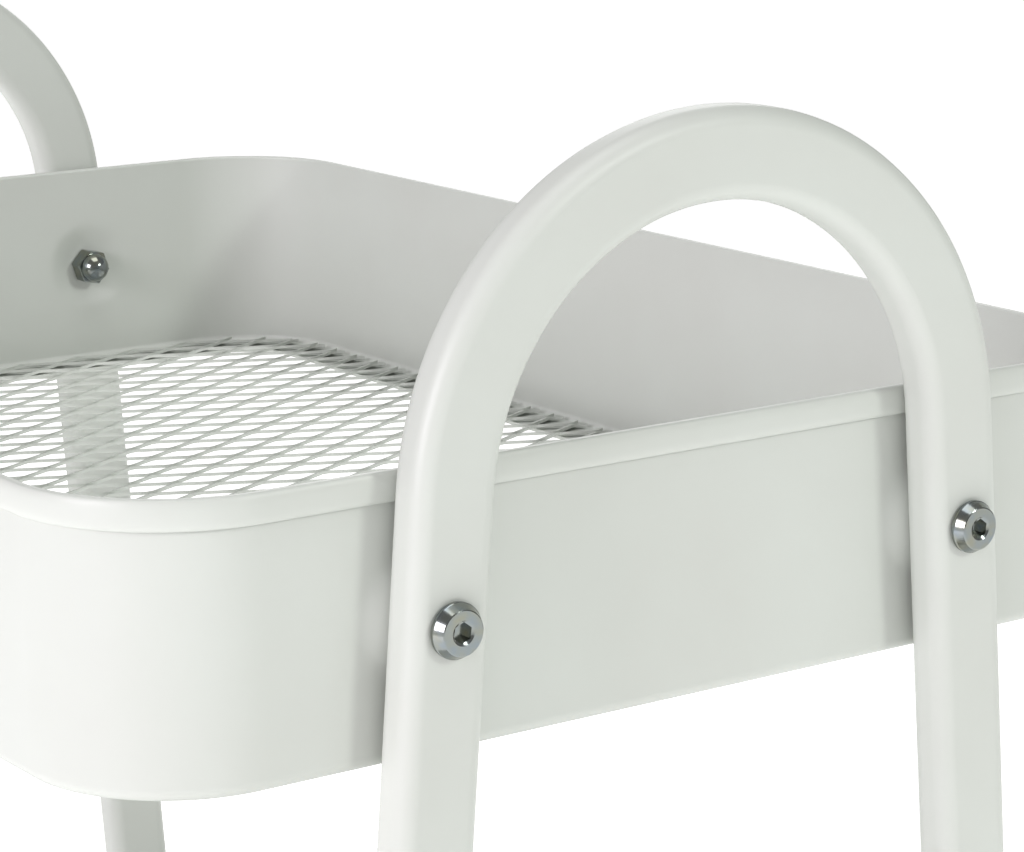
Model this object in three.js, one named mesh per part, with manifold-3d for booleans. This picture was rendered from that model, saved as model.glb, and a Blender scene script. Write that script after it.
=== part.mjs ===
// Three-tier rolling utility cart: two bent-tube side frames, three steel trays
// with expanded-metal floors, and four swivelling twin-wheel casters.
// Millimetres. Z is up, X runs along the trays, Y runs across them.
// The origin is on the ground, under the middle of the cart.
import * as THREE from 'three';
import { mergeVertices } from 'three/addons/utils/BufferGeometryUtils.js';
import Module from 'manifold-3d';

const wasm = await Module();
wasm.setup();

// ---------------------------------------------------------------- dimensions
const GAP = 0.3; // clearance between pieces that bear on each other

// Trays, over the rim
const TRAY_LENGTH = 404;
const TRAY_WIDTH = 286;
const TRAY_DEPTH = 62.5;
const TRAY_CORNER = 36.5;
const SHEET = 1.0;
const RIM_HEIGHT = 6.6;
const RIM_OVERHANG = 1.6;
const RIM_FLAT = 0.4;
const BOTTOM_EDGE = 3;
const FLANGE = 16;
const MESH_THICKNESS = 1.5;
const MESH_INSET = 3;

// Tiers
const TIER_PITCH = 256;
const LOWEST_RIM = 154;
const TIERS = ['bottom', 'middle', 'top'];

// Side frames, flat-oval steel tube
const TUBE_WIDTH = 20;
const TUBE_DEPTH = 11.5;
const TUBE_CORNER = 4.2;
const TUBE_WALL = 1.2;
const ARCH_RADIUS = 68.3;
const ARCH_DROP = 9.9;
const ARCH_STEPS = 22;

// Screw joints between frames and trays
const BOLT_DROP = 31.4;
const LOW_BOLT_PAST_FLAT = 2;
const SHANK_RADIUS = 3;
const HOLE_RADIUS = SHANK_RADIUS + GAP;
const HEAD_RADIUS = 6;
const HEAD_RING = 1.2;
const HEAD_HEIGHT = 3.3;
const HEAD_FLAT_RADIUS = 4.7;
const SOCKET_ACROSS_FLATS = 4;
const SOCKET_DEPTH = 2.3;
const NUT_ACROSS_FLATS = 10;
const NUT_HEX_HEIGHT = 5;
const NUT_DOME_RADIUS = 4.6;
const NUT_ENGAGEMENT = 6;
const NUT_END_SPACE = 1;
const DOME_MIDDLE = Math.SQRT1_2;
const BOSS_FLAT_RADIUS = 10.5;
const BOSS_FOOT_RADIUS = 13.5;

// Leg plugs
const PLUG_LENGTH = 28;
const PLUG_COLLAR = 5;
const PLUG_END_WALL = 4;

// Casters
const STEM_RADIUS = 3;
const STEM_FLANGE_RADIUS = 7;
const STEM_FLANGE = 2.5;
const STEM_END_SPACE = 1;
const WHEEL_RADIUS = 25;
const WHEEL_WIDTH = 15;
const TRAIL = 20;
const WEB = 6;
const WHEEL_SIDE_GAP = 0.6;
const WELL_GAP = 1.5;
const HOOD_WALL = 2;
const HOOD_TILT = THREE.MathUtils.degToRad(18);
const HOOD_CUT = 5;
const HOOD_NECK = 4.4;
const HOOD_ROOF = 2;
const HUB_RADIUS = 9;
const BOSS_RADIUS = 9;
const AXLE_RADIUS = 3;
const WHEEL_RIM_RADIUS = 20;
const WHEEL_DISH = 3;
const WHEEL_HUB_SETBACK = 0.5;
const WHEEL_DRAFT = 1;
const AXLE_SETBACK = 1;
const TREAD_EDGE = 2;

// Brake pedals, on the two front casters
const BRAKE_PIN_RADIUS = 2;
const BRAKE_EYE_RADIUS = 4.2;
const BRAKE_PIVOT_ANGLE = THREE.MathUtils.degToRad(48);
const BRAKE_CHEEK = 3;
const BRAKE_EYE_SPACE = 0.5;
const PEDAL_LENGTH = 22;
const PEDAL_WIDTH = 20;
const PEDAL_THICKNESS = 3;
const PEDAL_SLOPE = THREE.MathUtils.degToRad(12);

// ------------------------------------------------------------ derived places
const HALF_LENGTH = TRAY_LENGTH / 2;
const FRAME_X = HALF_LENGTH + GAP + TUBE_DEPTH / 2;
const WELL_RADIUS = WHEEL_RADIUS + WELL_GAP;
const HOOD_RADIUS = WELL_RADIUS + HOOD_WALL;
const HOOD_TOP = WHEEL_RADIUS + HOOD_RADIUS + HOOD_NECK;
const PLUG_FOOT = HOOD_TOP + 2 * GAP + STEM_FLANGE;
const LEG_END = PLUG_FOOT + PLUG_COLLAR;
const rimHeight = (tier) => LOWEST_RIM + TIERS.indexOf(tier) * TIER_PITCH;
const boltHeight = (tier) => rimHeight(tier) - BOLT_DROP;
const ARCH_CENTRE = rimHeight(TIERS[TIERS.length - 1]) - ARCH_DROP;
const LOW_BOLT_Y = TRAY_WIDTH / 2 - TRAY_CORNER + LOW_BOLT_PAST_FLAT;

// The legs leave the arch on its tangents through the lowest bolts.
const lowBoltFall = ARCH_CENTRE - boltHeight(TIERS[0]);
const SPLAY = Math.acos(ARCH_RADIUS / Math.hypot(LOW_BOLT_Y, lowBoltFall))
    - Math.atan2(lowBoltFall, LOW_BOLT_Y);
const ARCH_END = new THREE.Vector2(
    ARCH_RADIUS * Math.cos(SPLAY),
    ARCH_CENTRE + ARCH_RADIUS * Math.sin(SPLAY),
);
const legY = (z) => ARCH_END.x + Math.tan(SPLAY) * (ARCH_END.y - z);

// ------------------------------------------------------------------- helpers
// A closed three.js geometry as a manifold solid.
function solid(geometry) {
    const bare = geometry.index ? geometry.toNonIndexed() : geometry.clone();
    bare.deleteAttribute('normal');
    bare.deleteAttribute('uv');
    const merged = mergeVertices(bare, 1e-4);
    const corners = merged.attributes.position.array;
    const faces = [];
    for (let i = 0; i < merged.index.count; i += 3) {
        const [a, b, c] = merged.index.array.slice(i, i + 3);
        if (a !== b && b !== c && c !== a) faces.push(a, b, c);
    }
    return new wasm.Manifold(new wasm.Mesh({
        numProp: 3,
        vertProperties: new Float32Array(corners),
        triVerts: new Uint32Array(faces),
    }));
}

// A manifold solid as a geometry again.
function geometryOf(body) {
    const mesh = body.getMesh();
    const geometry = new THREE.BufferGeometry();
    geometry.setAttribute('position', new THREE.BufferAttribute(mesh.vertProperties, 3));
    geometry.setIndex(new THREE.BufferAttribute(mesh.triVerts, 1));
    return geometry;
}

const join = (bodies) => bodies.reduce((all, body) => all.add(body));
const cut = (body, tools) => tools.reduce((left, tool) => left.subtract(tool), body);

function roundedRectangle(length, width, radius) {
    const x = length / 2 - radius;
    const y = width / 2 - radius;
    const shape = new THREE.Shape();
    shape.absarc(x, y, radius, 0, Math.PI / 2);
    shape.absarc(-x, y, radius, Math.PI / 2, Math.PI);
    shape.absarc(-x, -y, radius, Math.PI, Math.PI * 1.5);
    shape.absarc(x, -y, radius, Math.PI * 1.5, Math.PI * 2);
    shape.closePath();
    return shape;
}

// A shape as a straight prism that starts at z = base.
function prism(shape, base, height, curveSegments) {
    const geometry = new THREE.ExtrudeGeometry(shape, { depth: height, bevelEnabled: false, curveSegments });
    geometry.translate(0, 0, base);
    return solid(geometry);
}

// A (radius, height) profile turned about Z. Both ends lie on the axis, or it closes on itself.
function turned(profile, segments) {
    const points = profile.map(([radius, height]) => new THREE.Vector2(radius, height));
    const geometry = new THREE.LatheGeometry(points, segments);
    geometry.rotateX(Math.PI / 2);
    return solid(geometry);
}

const alongX = (body) => body.rotate([0, 90, 0]);
const alongY = (body) => body.rotate([-90, 0, 0]);

function cylinder(radius, bottom, top, segments) {
    return turned([[0, bottom], [radius, bottom], [radius, top], [0, top]], segments);
}

function block(size, centre) {
    const geometry = new THREE.BoxGeometry(...size);
    geometry.translate(...centre);
    return solid(geometry);
}

// --------------------------------------------------------------------- trays
const CORNER_SEGMENTS = 3;
const ROUND_SEGMENTS = 16;
const WALL_LENGTH = TRAY_LENGTH - 2 * RIM_OVERHANG;
const WALL_WIDTH = TRAY_WIDTH - 2 * RIM_OVERHANG;
const WALL_CORNER = TRAY_CORNER - RIM_OVERHANG;

// The wall's outline, moved inwards by an inset.
const wallOutline = (inset) => roundedRectangle(
    WALL_LENGTH - 2 * inset,
    WALL_WIDTH - 2 * inset,
    WALL_CORNER - inset,
);

// A vertical-sided block whose lower edge is rounded.
function tub(inset, base, top, edge) {
    const geometry = new THREE.ExtrudeGeometry(wallOutline(inset + edge), {
        depth: top - base,
        curveSegments: CORNER_SEGMENTS,
        bevelThickness: edge,
        bevelSize: edge,
        bevelSegments: 2,
    });
    geometry.translate(0, 0, base + edge);
    const above = block([TRAY_LENGTH * 2, TRAY_WIDTH * 2, edge * 4], [0, 0, top + edge * 2]);
    return solid(geometry).subtract(above);
}

// The rim is the sheet rolled outwards into a bead.
function rimBead(top) {
    const geometry = new THREE.ExtrudeGeometry(wallOutline(0), {
        depth: RIM_FLAT,
        curveSegments: CORNER_SEGMENTS,
        bevelThickness: (RIM_HEIGHT - RIM_FLAT) / 2,
        bevelSize: RIM_OVERHANG,
        bevelSegments: 2,
    });
    geometry.translate(0, 0, top - (RIM_HEIGHT + RIM_FLAT) / 2);
    return solid(geometry);
}

// A shallow boss pressed outwards where each bolt goes through, with its axis on +X.
const bossFoot = -RIM_OVERHANG;
const bossRoot = bossFoot - BOTTOM_EDGE - SHEET;
const boss = alongX(turned([
    [0, 0], [BOSS_FLAT_RADIUS, 0], [BOSS_FOOT_RADIUS, bossFoot],
    [BOSS_FOOT_RADIUS, bossRoot], [0, bossRoot],
].reverse(), ROUND_SEGMENTS));
const recess = alongX(turned([
    [0, -SHEET], [BOSS_FLAT_RADIUS - SHEET, -SHEET], [BOSS_FOOT_RADIUS - SHEET, bossFoot - SHEET],
    [BOSS_FOOT_RADIUS - SHEET, bossRoot - SHEET], [0, bossRoot - SHEET],
].reverse(), ROUND_SEGMENTS));
const boltHole = alongX(cylinder(HOLE_RADIUS, -TUBE_DEPTH, TUBE_DEPTH, ROUND_SEGMENTS));

// The four screw joints of a tier, each with the turn that faces it outwards.
function boltPlaces(tier) {
    const z = boltHeight(tier);
    const y = legY(z);
    return [
        { end: 'front', side: 'left', face: 1, y, z },
        { end: 'front', side: 'right', face: 1, y: -y, z },
        { end: 'rear', side: 'left', face: -1, y, z },
        { end: 'rear', side: 'right', face: -1, y: -y, z },
    ];
}

// Puts a body that was made facing +X at a screw joint, `out` from the middle of the cart.
function atJoint(body, place, out) {
    const faced = place.face > 0 ? body : body.rotate([0, 0, 180]);
    return faced.translate([place.face * out, place.y, place.z]);
}

function trayBody(tier) {
    const top = rimHeight(tier);
    const bottom = top - TRAY_DEPTH;
    const places = boltPlaces(tier);
    const outside = join([
        tub(0, bottom, top - RIM_HEIGHT / 2, BOTTOM_EDGE),
        rimBead(top),
        ...places.map((place) => atJoint(boss, place, HALF_LENGTH)),
    ]);
    return cut(outside, [
        tub(SHEET, bottom + SHEET, top + RIM_HEIGHT, BOTTOM_EDGE - SHEET),
        prism(wallOutline(FLANGE), bottom - SHEET, TRAY_DEPTH, CORNER_SEGMENTS),
        ...places.map((place) => atJoint(recess, place, HALF_LENGTH)),
        ...places.map((place) => atJoint(boltHole, place, HALF_LENGTH)),
    ]);
}

function meshFloor(tier) {
    const base = rimHeight(tier) - TRAY_DEPTH + SHEET + GAP;
    return prism(wallOutline(SHEET + MESH_INSET), base, MESH_THICKNESS, CORNER_SEGMENTS);
}

// --------------------------------------------------------------- side frames
// Leg, arch and leg in one plane, with a station at each bend of the facets
// and none along the straight legs.
class FramePath extends THREE.Curve {
    getPoint(t, target = new THREE.Vector3()) {
        const station = t * (ARCH_STEPS + 2);
        const angle = this.angleAt(station);
        const y = ARCH_RADIUS * Math.cos(angle);
        const z = ARCH_CENTRE + ARCH_RADIUS * Math.sin(angle);
        if (station < 1) {
            return target.set(0, legY(LEG_END), LEG_END).lerp(new THREE.Vector3(0, y, z), station);
        }
        if (station > ARCH_STEPS + 1) {
            const end = new THREE.Vector3(0, -legY(LEG_END), LEG_END);
            return target.set(0, y, z).lerp(end, station - ARCH_STEPS - 1);
        }
        return target.set(0, y, z);
    }

    angleAt(station) {
        const share = THREE.MathUtils.clamp((station - 1) / ARCH_STEPS, 0, 1);
        return THREE.MathUtils.lerp(SPLAY, Math.PI - SPLAY, share);
    }

    getPointAt(t, target) {
        return this.getPoint(t, target);
    }

    getTangentAt(t, target = new THREE.Vector3()) {
        const angle = this.angleAt(t * (ARCH_STEPS + 2));
        return target.set(0, -Math.sin(angle), Math.cos(angle));
    }
}

function sideFrame(face) {
    const section = roundedRectangle(TUBE_DEPTH, TUBE_WIDTH, TUBE_CORNER);
    section.holes.push(roundedRectangle(
        TUBE_DEPTH - 2 * TUBE_WALL,
        TUBE_WIDTH - 2 * TUBE_WALL,
        TUBE_CORNER - TUBE_WALL,
    ));
    const geometry = new THREE.ExtrudeGeometry(section, {
        steps: ARCH_STEPS + 2,
        extrudePath: new FramePath(),
        curveSegments: 1,
    });
    geometry.translate(face * FRAME_X, 0, 0);
    const holes = TIERS.flatMap((tier) => boltPlaces(tier)
        .filter((place) => place.face === face)
        .map((place) => atJoint(boltHole, place, FRAME_X)));
    return cut(solid(geometry), holes);
}

// ----------------------------------------------------------------- fasteners
// Socket-head screw, made facing +X with its seat at x = 0.
const SHANK_LENGTH = TUBE_DEPTH + 3 * GAP + SHEET + NUT_ENGAGEMENT;
const SOCKET_RADIUS = SOCKET_ACROSS_FLATS / 2 / Math.cos(Math.PI / 6);
const bolt = alongX(cut(turned([
    [0, -SHANK_LENGTH], [SHANK_RADIUS, -SHANK_LENGTH], [SHANK_RADIUS, 0], [HEAD_RADIUS, 0],
    [HEAD_RADIUS, HEAD_RING], [HEAD_FLAT_RADIUS, HEAD_HEIGHT], [0, HEAD_HEIGHT],
], 12), [cylinder(SOCKET_RADIUS, HEAD_HEIGHT - SOCKET_DEPTH, HEAD_HEIGHT + 1, 6)]));

// Dome nut, made facing -X from its seat at x = 0, with a blind hole for the screw.
const NUT_RADIUS = NUT_ACROSS_FLATS / 2 / Math.cos(Math.PI / 6);
const NUT_HOLE_DEPTH = NUT_ENGAGEMENT + NUT_END_SPACE;
const domeTop = -NUT_HEX_HEIGHT - NUT_DOME_RADIUS;
const nut = alongX(cut(join([
    cylinder(NUT_RADIUS, -NUT_HEX_HEIGHT, 0, 6),
    turned([
        [0, domeTop],
        [NUT_DOME_RADIUS * DOME_MIDDLE, -NUT_HEX_HEIGHT - NUT_DOME_RADIUS * DOME_MIDDLE],
        [NUT_DOME_RADIUS, -NUT_HEX_HEIGHT], [NUT_DOME_RADIUS, -1], [0, -1],
    ], 12),
]), [cylinder(HOLE_RADIUS, -NUT_HOLE_DEPTH, 1, 12)]));

// ----------------------------------------------------------------- leg plugs
// Moulded insert in the leg's open end. It leans with the leg, its foot is
// level and its bore is upright.
const STEM_BORE = STEM_RADIUS + GAP;
const STEM_BORE_TOP = LEG_END + PLUG_LENGTH - PLUG_END_WALL;

function legPlug(place) {
    const inner = roundedRectangle(
        TUBE_DEPTH - 2 * (TUBE_WALL + GAP),
        TUBE_WIDTH - 2 * (TUBE_WALL + GAP),
        TUBE_CORNER - TUBE_WALL,
    );
    const outer = roundedRectangle(TUBE_DEPTH, TUBE_WIDTH, TUBE_CORNER);
    const lean = THREE.MathUtils.radToDeg(SPLAY) * Math.sign(place.y);
    const leaning = join([
        prism(inner, -PLUG_COLLAR, PLUG_LENGTH + PLUG_COLLAR, 1),
        prism(outer, -PLUG_COLLAR * 2, PLUG_COLLAR * 2 - GAP, 1),
    ]).rotate([lean, 0, 0]).translate([place.x, place.y, LEG_END]);
    const below = block(
        [TUBE_WIDTH * 2, TUBE_WIDTH * 2, TUBE_WIDTH],
        [place.x, place.y, PLUG_FOOT - TUBE_WIDTH / 2],
    );
    const bore = cylinder(STEM_BORE, PLUG_FOOT - 1, STEM_BORE_TOP, 12)
        .translate([place.x, place.y, 0]);
    return cut(leaning, [below, bore]);
}

// ------------------------------------------------------------------- casters
// A caster is made with its swivel axis on Z and its wheels trailing to +X.
const HOOD_BORE_BOTTOM = WHEEL_RADIUS + Math.sqrt(WELL_RADIUS ** 2 - TRAIL ** 2) + HOOD_ROOF;
const WHEEL_INNER_FACE = WEB / 2 + WHEEL_SIDE_GAP;
const WHEEL_OUTER_FACE = WHEEL_INNER_FACE + WHEEL_WIDTH;
const BRAKE_REACH = HOOD_RADIUS + GAP + BRAKE_EYE_RADIUS + BRAKE_EYE_SPACE;
const brakePivot = new THREE.Vector2(
    TRAIL + BRAKE_REACH * Math.cos(BRAKE_PIVOT_ANGLE),
    WHEEL_RADIUS + BRAKE_REACH * Math.sin(BRAKE_PIVOT_ANGLE),
);

const casterStem = join([
    cylinder(STEM_RADIUS, HOOD_BORE_BOTTOM + GAP, STEM_BORE_TOP - STEM_END_SPACE, 12),
    cylinder(STEM_FLANGE_RADIUS, HOOD_TOP + GAP, HOOD_TOP + GAP + STEM_FLANGE, 12),
]);

const ROUND_HOOD = 28;
const acrossAxle = (radius, from, to, segments) =>
    alongY(cylinder(radius, from, to, segments)).translate([TRAIL, 0, WHEEL_RADIUS]);

function casterHood(braked) {
    const halfWidth = WHEEL_OUTER_FACE;
    const cutter = block(
        [HOOD_RADIUS * 4, HOOD_RADIUS * 4, HOOD_RADIUS * 2],
        [0, 0, HOOD_CUT - HOOD_RADIUS],
    )
        .rotate([0, -THREE.MathUtils.radToDeg(HOOD_TILT), 0])
        .translate([TRAIL, 0, WHEEL_RADIUS]);
    const parts = [
        acrossAxle(HOOD_RADIUS, -halfWidth, halfWidth, ROUND_HOOD).subtract(cutter),
        acrossAxle(HUB_RADIUS, -WEB / 2, WEB / 2, ROUND_SEGMENTS),
        cylinder(BOSS_RADIUS, WHEEL_RADIUS + HUB_RADIUS, HOOD_TOP, ROUND_SEGMENTS),
    ];
    const wells = [
        acrossAxle(WELL_RADIUS, WEB / 2, halfWidth + 1, ROUND_HOOD),
        acrossAxle(WELL_RADIUS, -halfWidth - 1, -WEB / 2, ROUND_HOOD),
    ];
    const bores = [
        cylinder(STEM_BORE, HOOD_BORE_BOTTOM, HOOD_TOP + 1, 12),
        acrossAxle(AXLE_RADIUS + GAP, -WEB, WEB, 12),
    ];
    if (braked) {
        const lug = block([BRAKE_REACH - WHEEL_RADIUS, WEB, 2 * BRAKE_EYE_RADIUS],
            [(BRAKE_REACH + WHEEL_RADIUS) / 2, 0, 0])
            .rotate([0, -THREE.MathUtils.radToDeg(BRAKE_PIVOT_ANGLE), 0])
            .translate([TRAIL, 0, WHEEL_RADIUS]);
        const eye = alongY(cylinder(BRAKE_EYE_RADIUS, -WEB / 2, WEB / 2, ROUND_SEGMENTS));
        const pinHole = alongY(cylinder(BRAKE_PIN_RADIUS + GAP, -WEB, WEB, 12));
        parts.push(lug, eye.translate([brakePivot.x, 0, brakePivot.y]));
        bores.push(pinHole.translate([brakePivot.x, 0, brakePivot.y]));
    }
    return cut(join(parts), [...wells, ...bores]);
}

const AXLE_END = WHEEL_OUTER_FACE - AXLE_SETBACK;
const casterAxle = acrossAxle(AXLE_RADIUS, -AXLE_END, AXLE_END, 12);

// The wheel on the +Y side of the web, dished on its outer face.
const wheelBore = AXLE_RADIUS + GAP;
const wheel = alongY(turned([
    [wheelBore, -WHEEL_INNER_FACE],
    [WHEEL_RADIUS - TREAD_EDGE, -WHEEL_INNER_FACE],
    [WHEEL_RADIUS, -WHEEL_INNER_FACE - TREAD_EDGE],
    [WHEEL_RADIUS, -WHEEL_OUTER_FACE + TREAD_EDGE],
    [WHEEL_RADIUS - TREAD_EDGE, -WHEEL_OUTER_FACE],
    [WHEEL_RIM_RADIUS, -WHEEL_OUTER_FACE],
    [WHEEL_RIM_RADIUS - WHEEL_DRAFT, -WHEEL_OUTER_FACE + WHEEL_DISH],
    [HUB_RADIUS, -WHEEL_OUTER_FACE + WHEEL_DISH],
    [HUB_RADIUS - WHEEL_DRAFT, -WHEEL_OUTER_FACE + WHEEL_HUB_SETBACK],
    [wheelBore, -WHEEL_OUTER_FACE + WHEEL_HUB_SETBACK],
    [wheelBore, -WHEEL_INNER_FACE],
].reverse(), 16)).translate([TRAIL, 0, WHEEL_RADIUS]);

// Pedal with two cheeks either side of the hood's lug, and a pin through it.
function brakePedal() {
    const cheekInner = WEB / 2 + GAP;
    const cheekOuter = cheekInner + BRAKE_CHEEK;
    const eye = (from, to) => alongY(cylinder(BRAKE_EYE_RADIUS, from, to, ROUND_SEGMENTS));
    const armStart = BRAKE_EYE_RADIUS + 2 * GAP;
    const arm = (from, to) => block(
        [armStart + 2, to - from, PEDAL_THICKNESS],
        [(armStart + 2) / 2, (from + to) / 2, 0],
    );
    const plate = block(
        [PEDAL_LENGTH - armStart, PEDAL_WIDTH, PEDAL_THICKNESS],
        [(PEDAL_LENGTH + armStart) / 2, 0, 0],
    );
    return join([
        eye(cheekInner, cheekOuter),
        eye(-cheekOuter, -cheekInner),
        arm(cheekInner, cheekOuter),
        arm(-cheekOuter, -cheekInner),
        plate,
        alongY(cylinder(BRAKE_PIN_RADIUS, -cheekOuter, cheekOuter, 12)),
    ]).rotate([0, -THREE.MathUtils.radToDeg(PEDAL_SLOPE), 0])
        .translate([brakePivot.x, 0, brakePivot.y]);
}

// ------------------------------------------------------------------ assembly
const paint = () => new THREE.MeshStandardMaterial({ color: 0xe4e6e1, roughness: 0.42, metalness: 0 });
const zinc = () => new THREE.MeshStandardMaterial({ color: 0xb9bdc0, roughness: 0.25, metalness: 1 });
const blackPlastic = () => new THREE.MeshStandardMaterial({ color: 0x1e1f20, roughness: 0.5, metalness: 0 });
const greyTyre = () => new THREE.MeshStandardMaterial({ color: 0x3a3b3c, roughness: 0.65, metalness: 0 });

const cart = new THREE.Group();

function piece(name, body, material, parent = cart) {
    const mesh = new THREE.Mesh(geometryOf(body), material);
    mesh.name = name;
    parent.add(mesh);
}

piece('side_frame_front', sideFrame(1), paint());
piece('side_frame_rear', sideFrame(-1), paint());

for (const tier of TIERS) {
    piece(`${tier}_tray_wall`, trayBody(tier), paint());
    piece(`${tier}_tray_mesh`, meshFloor(tier), paint());
    for (const place of boltPlaces(tier)) {
        const boltSeat = FRAME_X + TUBE_DEPTH / 2 + GAP;
        piece(`${tier}_bolt_${place.end}_${place.side}`, atJoint(bolt, place, boltSeat), zinc());
        const nutSeat = HALF_LENGTH - SHEET - GAP;
        piece(`${tier}_nut_${place.end}_${place.side}`, atJoint(nut, place, nutSeat), zinc());
    }
}

// One caster under each leg. Every caster's wheels trail towards the middle of the cart.
for (const [end, face] of [['front', 1], ['rear', -1]]) {
    for (const [side, hand] of [['left', 1], ['right', -1]]) {
        const place = { x: face * FRAME_X, y: hand * legY(LEG_END) };
        piece(`leg_plug_${end}_${side}`, legPlug(place), blackPlastic());

        const caster = new THREE.Group();
        caster.position.set(place.x, place.y, 0);
        caster.rotation.z = face > 0 ? Math.PI : 0;
        cart.add(caster);
        const name = `caster_${end}_${side}`;
        const braked = end === 'front';
        piece(`${name}_stem`, casterStem, zinc(), caster);
        piece(`${name}_hood`, casterHood(braked), blackPlastic(), caster);
        piece(`${name}_axle`, casterAxle, zinc(), caster);
        piece(`${name}_wheel_a`, wheel, greyTyre(), caster);
        piece(`${name}_wheel_b`, wheel.mirror([0, 1, 0]), greyTyre(), caster);
        if (braked) piece(`${name}_brake_pedal`, brakePedal(), blackPlastic(), caster);
    }
}

export default cart;
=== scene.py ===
# %% [markdown]
# # A three-tier rolling cart
# The cart is two bent steel tubes that hold three pressed trays, on four swivelling casters.
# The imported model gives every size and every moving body. This notebook adds the finished
# shapes and the finishes around it, one kind of piece at a time.

# %% The frame
import math
import bmesh
import bpy
from mathutils import Matrix, Vector


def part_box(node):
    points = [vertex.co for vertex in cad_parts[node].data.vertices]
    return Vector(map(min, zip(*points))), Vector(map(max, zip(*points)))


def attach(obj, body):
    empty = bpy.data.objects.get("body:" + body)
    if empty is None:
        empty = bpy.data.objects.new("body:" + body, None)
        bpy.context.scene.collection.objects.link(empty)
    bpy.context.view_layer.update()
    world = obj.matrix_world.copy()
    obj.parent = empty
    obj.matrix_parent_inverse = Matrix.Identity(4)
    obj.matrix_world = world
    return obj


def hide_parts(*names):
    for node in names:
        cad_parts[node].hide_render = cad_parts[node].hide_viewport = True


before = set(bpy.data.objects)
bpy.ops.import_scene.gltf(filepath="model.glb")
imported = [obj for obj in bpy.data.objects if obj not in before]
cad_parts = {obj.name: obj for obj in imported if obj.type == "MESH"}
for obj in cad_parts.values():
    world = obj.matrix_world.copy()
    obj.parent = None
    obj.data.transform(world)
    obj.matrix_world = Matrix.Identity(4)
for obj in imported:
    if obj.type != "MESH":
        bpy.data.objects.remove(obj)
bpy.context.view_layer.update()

MM = 0.001

# %% [markdown]
# ## Reading sizes off the frame
# A piece that has to meet its neighbours takes its place from them. Measuring the packed
# model here keeps the notebook right when the model changes, which typed numbers wouldn't.

# %% Places and sizes
TIERS = ("bottom", "middle", "top")
ENDS = {"front": 1, "rear": -1}
SIDES = {"left": 1, "right": -1}


def corners(node):
    """Lowest and highest corner of a CAD node, as vectors."""
    low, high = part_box(node)
    return Vector(low), Vector(high)


def middle(node):
    low, high = corners(node)
    return (low + high) / 2


def bolt_place(tier, end, side):
    return middle(f"{tier}_bolt_{end}_{side}")


frame_low, frame_high = corners("side_frame_front")
tube_x = (frame_low.x + frame_high.x) / 2
tube_depth = frame_high.x - frame_low.x
tray_low, tray_high = corners("top_tray_wall")
tray_depth = tray_high.z - tray_low.z
print("tray mm", [round(v / MM, 1) for v in tray_high - tray_low])

# %% [markdown]
# ## Camera
# A long lens from a little above the rim keeps the near corner of the top tray large and
# its edges nearly parallel. It is made first, because the lights are balanced for it.

# %% Camera
CAMERA_PLACE = (0.7470, -0.4335, 0.8238)
CAMERA_TURN = math.radians(54.672)
CAMERA_DOWN = math.radians(12.863)
CAMERA_ROLL = math.radians(-0.232)
camera_data = bpy.data.cameras.new("camera")
camera_data.lens = 117.52
camera_data.sensor_width = 36
camera = bpy.data.objects.new("camera", camera_data)
bpy.context.scene.collection.objects.link(camera)
bpy.context.scene.camera = camera
camera.matrix_world = (
    Matrix.Translation(CAMERA_PLACE)
    @ Matrix.Rotation(CAMERA_TURN, 4, "Z")
    @ Matrix.Rotation(math.pi / 2 - CAMERA_DOWN, 4, "X")
    @ Matrix.Rotation(CAMERA_ROLL, 4, "Z")
)
print("camera lens", camera_data.lens)

# %% [markdown]
# ## Floor and light
# Paint this pale only shows its form through slow changes of light. A broad key on the
# right-hand side of the cart lights the corners. A smaller light in front, towards the other
# side, throws each leg's narrow shadow on the wall behind it. One from above, one behind and
# a pale surround fill the rest. The floor glows a little, so that it stays white.

# %% Colour and nodes


def linear(hex_code):
    """Six sRGB hex digits as linear red, green, blue and alpha."""
    shares = [int(hex_code[i:i + 2], 16) / 255 for i in (0, 2, 4)]
    return (*[c / 12.92 if c <= 0.04045 else ((c + 0.055) / 1.055) ** 2.4 for c in shares], 1.0)


def add_node(tree, kind, settings=(), links=()):
    """Adds a node, sets its inputs or properties, and links other nodes' outputs to it."""
    node = tree.nodes.new(kind)
    for name, value in dict(settings).items():
        if isinstance(name, int) or name in node.inputs:
            node.inputs[name].default_value = value
        else:
            setattr(node, name, value)
    for name, source in dict(links).items():
        tree.links.new(source, node.inputs[name])
    return node


# %% Studio
FLOOR_SIZE = 180
FLOOR_GLOW = 0.72
SURROUND_STRENGTH = 0.32


def area_light(name, place, aim_height, size, watts, colour):
    """A square area light aimed at the cart's middle line at a height."""
    data = bpy.data.lights.new(name, "AREA")
    data.shape = "SQUARE"
    data.size = size
    data.energy = watts
    data.color = linear(colour)[:3]
    light = bpy.data.objects.new(name, data)
    bpy.context.scene.collection.objects.link(light)
    towards = Vector((0, 0, aim_height)) - Vector(place)
    turn = towards.to_track_quat("-Z", "Y").to_matrix().to_4x4()
    light.matrix_world = Matrix.Translation(place) @ turn


area_light("key", (0.45, -2.5, 1.35), 0.6, 1.2, 45, "FEF7FF")
area_light("top", (0.3, 0.0, 2.8), 0.5, 1.4, 15, "FFFFFF")
area_light("front", (2.5, 1.05, 2.0), 0.6, 0.45, 24, "FBFFFA")
area_light("back", (-2.4, 1.9, 1.9), 0.5, 1.3, 16, "FFFFFF")

world = bpy.data.worlds.new("surround")
bpy.context.scene.world = world
world.use_nodes = True
background = world.node_tree.nodes["Background"]
background.inputs["Color"].default_value = linear("FFFFFF")
background.inputs["Strength"].default_value = SURROUND_STRENGTH
bpy.context.scene.view_settings.view_transform = "Standard"

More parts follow.
